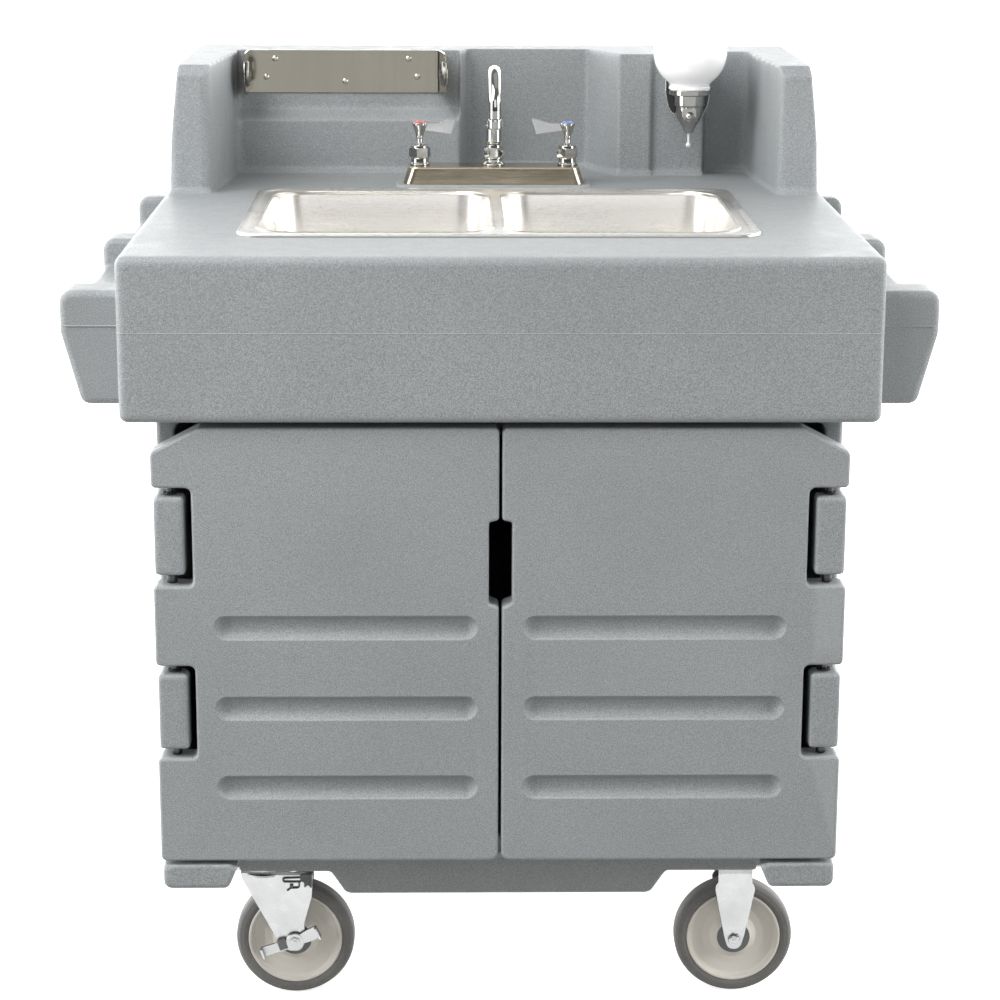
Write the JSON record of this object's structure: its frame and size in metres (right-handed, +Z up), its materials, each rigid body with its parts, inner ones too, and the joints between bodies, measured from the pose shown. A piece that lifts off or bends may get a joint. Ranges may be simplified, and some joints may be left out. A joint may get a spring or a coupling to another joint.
{
  "type": "portable handwash sink",
  "caption": "Wheeled handwash station: moulded plastic cabinet with hinged doors, double-bowl steel sink, gooseneck faucet, towel holder, soap dispenser and swivel casters.",
  "frame": {"origin": "on the floor, below the middle of the counter's width and depth", "axes": "+X to the user's right, +Y from the user's side to the backsplash, +Z up"},
  "size_m": [1.031, 0.9, 1.218],
  "materials": {
    "shell": "rotomoulded polyethylene, granite grey with fine light and dark speckle",
    "sink_steel": "satin brushed stainless with a bright rim",
    "chrome": "polished chrome plate",
    "bright_steel": "bright polished stainless",
    "zinc": "bright zinc plated pressed steel",
    "tyre": "dark grey non-marking rubber tread",
    "wheel_core": "cream moulded plastic wheel centre",
    "white_plastic": "white moulded plastic",
    "soap_bowl": "translucent white, glossy",
    "waste_tank": "dark grey blow moulded polyethylene",
    "fresh_tank": "natural translucent blow moulded polyethylene",
    "black_plastic": "black moulded plastic",
    "blue_plastic": "blue plastic",
    "red_plastic": "red plastic",
    "clear_hose": "clear reinforced hose",
    "enamel": "white enamelled steel",
    "index_red": "red index button",
    "index_blue": "blue index button"
  },
  "bodies": {
    "root": {"cabinet_body": "shell", "cold_line": "blue_plastic", "counter_top": "shell", "drain_strainer_left": "bright_steel", "drain_strainer_right": "bright_steel", "faucet_body": "chrome", "fresh_tank": "fresh_tank", "fresh_tank_cap": "blue_plastic", "front_rigid_axle": "zinc", "front_rigid_fork": "zinc", "front_swivel_plate": "zinc", "heater_feed": "blue_plastic", "hinge_rod_left": "zinc", "hinge_rod_right": "zinc", "hot_line": "red_plastic", "power_inlet": "black_plastic", "rear_rigid_axle": "zinc", "rear_rigid_fork": "zinc", "rear_swivel_plate": "zinc", "sink_basin": "sink_steel", "soap_bracket": "chrome", "soap_globe": "soap_bowl", "soap_valve": "chrome", "spout_nut": "chrome", "suction_hose": "clear_hose", "towel_bracket": "bright_steel", "towel_hub_left": "bright_steel", "valve_cold": "chrome", "valve_hot": "chrome", "waste_pipe": "white_plastic", "waste_tank": "waste_tank", "waste_tank_cap": "black_plastic", "water_heater": "enamel", "water_pump": "black_plastic"},
    "door_left": {"door_left": "shell"},
    "door_right": {"door_right": "shell"},
    "spout": {"faucet_spout": "chrome", "aerator": "chrome"},
    "lever_hot": {"lever_hot": "chrome", "index_hot": "index_red"},
    "lever_cold": {"lever_cold": "chrome", "index_cold": "index_blue"},
    "soap_plunger": {"soap_plunger": "white_plastic"},
    "towel_spring_arm": {"towel_spring_arm": "bright_steel", "towel_hub_right": "bright_steel"},
    "front_rigid_wheel": {"front_rigid_wheel_core": "wheel_core", "front_rigid_tyre": "tyre"},
    "front_swivel_fork": {"front_swivel_fork": "zinc", "front_swivel_axle": "zinc"},
    "front_swivel_wheel": {"front_swivel_wheel_core": "wheel_core", "front_swivel_tyre": "tyre"},
    "front_swivel_brake": {"front_swivel_brake": "zinc"},
    "rear_rigid_wheel": {"rear_rigid_wheel_core": "wheel_core", "rear_rigid_tyre": "tyre"},
    "rear_swivel_fork": {"rear_swivel_fork": "zinc", "rear_swivel_axle": "zinc"},
    "rear_swivel_wheel": {"rear_swivel_wheel_core": "wheel_core", "rear_swivel_tyre": "tyre"},
    "rear_swivel_brake": {"rear_swivel_brake": "zinc"}
  },
  "joints": [
    {"name": "door_left_hinge", "type": "hinge", "parent": "root", "child": "door_left", "pos_m": [-0.39, -0.418, 0.5], "axis": [0, 0, -1], "range_deg": [0, 180]},
    {"name": "door_right_hinge", "type": "hinge", "parent": "root", "child": "door_right", "pos_m": [0.39, -0.418, 0.5], "axis": [0, 0, 1], "range_deg": [0, 180]},
    {"name": "spout_swivel", "type": "hinge", "parent": "root", "child": "spout", "pos_m": [0, 0.197, 1.06], "axis": [0, 0, 1], "range_deg": [-75, 75]},
    {"name": "lever_hot_turn", "type": "hinge", "parent": "root", "child": "lever_hot", "pos_m": [-0.1016, 0.197, 1.06], "axis": [0, 0, -1], "range_deg": [0, 90]},
    {"name": "lever_cold_turn", "type": "hinge", "parent": "root", "child": "lever_cold", "pos_m": [0.1016, 0.197, 1.06], "axis": [0, 0, 1], "range_deg": [0, 90]},
    {"name": "soap_push", "type": "slide", "parent": "root", "child": "soap_plunger", "axis": [0, 0, 1], "range_m": [0, 0.008], "stiffness_N_per_m": 250},
    {"name": "towel_arm_flex", "type": "hinge", "parent": "root", "child": "towel_spring_arm", "pos_m": [-0.0767, 0.3527, 1.13], "axis": [0, 0, 1], "range_deg": [0, 12], "stiffness_Nm_per_rad": 2},
    {"name": "front_rigid_roll", "type": "hinge", "parent": "root", "child": "front_rigid_wheel", "pos_m": [0.306, -0.26, 0.0762], "axis": [0, 1, 0], "continuous": true},
    {"name": "front_swivel_turn", "type": "hinge", "parent": "root", "child": "front_swivel_fork", "pos_m": [-0.3, -0.26, 0.17], "axis": [0, 0, 1], "continuous": true},
    {"name": "front_swivel_roll", "type": "hinge", "parent": "front_swivel_fork", "child": "front_swivel_wheel", "pos_m": [-0.26, -0.26, 0.0762], "axis": [0, 1, 0], "continuous": true},
    {"name": "front_brake_press", "type": "hinge", "parent": "front_swivel_fork", "child": "front_swivel_brake", "pos_m": [-0.26, -0.26, 0.0762], "axis": [0, 1, 0], "range_deg": [0, 34]},
    {"name": "rear_rigid_roll", "type": "hinge", "parent": "root", "child": "rear_rigid_wheel", "pos_m": [0.306, 0.26, 0.0762], "axis": [0, 1, 0], "continuous": true},
    {"name": "rear_swivel_turn", "type": "hinge", "parent": "root", "child": "rear_swivel_fork", "pos_m": [-0.3, 0.26, 0.17], "axis": [0, 0, 1], "continuous": true},
    {"name": "rear_swivel_roll", "type": "hinge", "parent": "rear_swivel_fork", "child": "rear_swivel_wheel", "pos_m": [-0.26, 0.26, 0.0762], "axis": [0, 1, 0], "continuous": true},
    {"name": "rear_brake_press", "type": "hinge", "parent": "rear_swivel_fork", "child": "rear_swivel_brake", "pos_m": [-0.26, 0.26, 0.0762], "axis": [0, 1, 0], "range_deg": [0, 34]}
  ]
}
